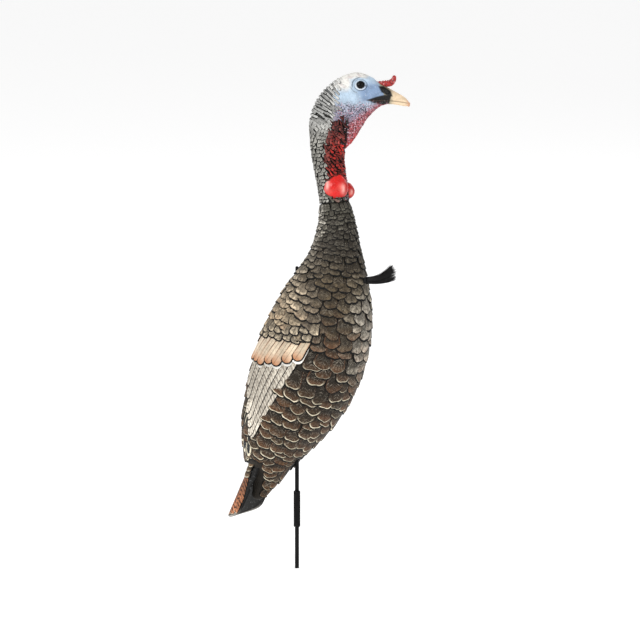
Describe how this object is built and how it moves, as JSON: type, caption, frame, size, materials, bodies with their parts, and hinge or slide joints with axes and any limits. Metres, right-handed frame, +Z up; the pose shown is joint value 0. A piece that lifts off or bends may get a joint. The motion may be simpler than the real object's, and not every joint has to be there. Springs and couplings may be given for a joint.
{
  "type": "turkey decoy",
  "caption": "Upright young-gobbler hunting decoy with a carved plumage body, a turning head, a bristle beard and a folded tail, turning on a jointed ground stake.",
  "frame": {"origin": "on the stake's axis at the level of the soil, where the stake holds the decoy up", "axes": "+Z up along the stake, +X the way the bird's breast faces, +Y to the bird's left"},
  "size_m": [0.2887, 0.1616, 0.9566],
  "materials": {
    "black_steel": "satin black",
    "coupler_sleeve": "matte black",
    "nylon": "satin",
    "plumage": "matte, painted feather relief",
    "tail_feathers": "matte, painted",
    "liner_plastic": "satin",
    "grommet_rubber": "matte",
    "bristle": "fine strands",
    "head_skin": "satin, painted skin relief",
    "snood_rubber": "satin",
    "eye_gloss": "glossy"
  },
  "bodies": {
    "ground_stake": {"stake_lower_rod": "black_steel", "stake_coupler": "coupler_sleeve", "coupler_roll_pin": "black_steel"},
    "upper_rod": {"stake_upper_rod": "black_steel"},
    "swivel_washer": {"thrust_washer": "nylon"},
    "decoy": {"body_shell": "plumage", "tail_fan": "tail_feathers", "stake_guide_tube": "liner_plastic", "pivot_bushing": "nylon", "belly_grommet": "grommet_rubber", "back_grommet": "grommet_rubber", "neck_socket": "liner_plastic", "beard_grommet": "grommet_rubber"},
    "beard": {"beard_ferrule": "liner_plastic", "beard_bristles": "bristle"},
    "peg": {"neck_peg": "nylon"},
    "head": {"head_shell": "head_skin", "head_socket": "liner_plastic", "snood": "snood_rubber", "eye_right": "eye_gloss", "eye_left": "eye_gloss"}
  },
  "joints": [
    {"name": "stake_draw", "type": "slide", "parent": "ground_stake", "child": "upper_rod", "axis": [0, 0, 1], "range_m": [0, 0.03]},
    {"name": "decoy_turn", "type": "hinge", "parent": "upper_rod", "child": "swivel_washer", "pos_m": [0, 0, 0.4391], "axis": [0, 0, 1], "continuous": true},
    {"name": "decoy_lift", "type": "slide", "parent": "swivel_washer", "child": "decoy", "axis": [0, 0, 1], "range_m": [0, 0.312]},
    {"name": "beard_pull", "type": "slide", "parent": "decoy", "child": "beard", "axis": [0.9945, 0, 0.1045], "range_m": [0, 0.02]},
    {"name": "head_turn", "type": "hinge", "parent": "decoy", "child": "peg", "pos_m": [0.0645, 0, 0.576], "axis": [-0.1392, 0, 0.9903], "continuous": true},
    {"name": "head_lift", "type": "slide", "parent": "peg", "child": "head", "axis": [-0.1392, 0, 0.9903], "range_m": [0, 0.045]}
  ]
}
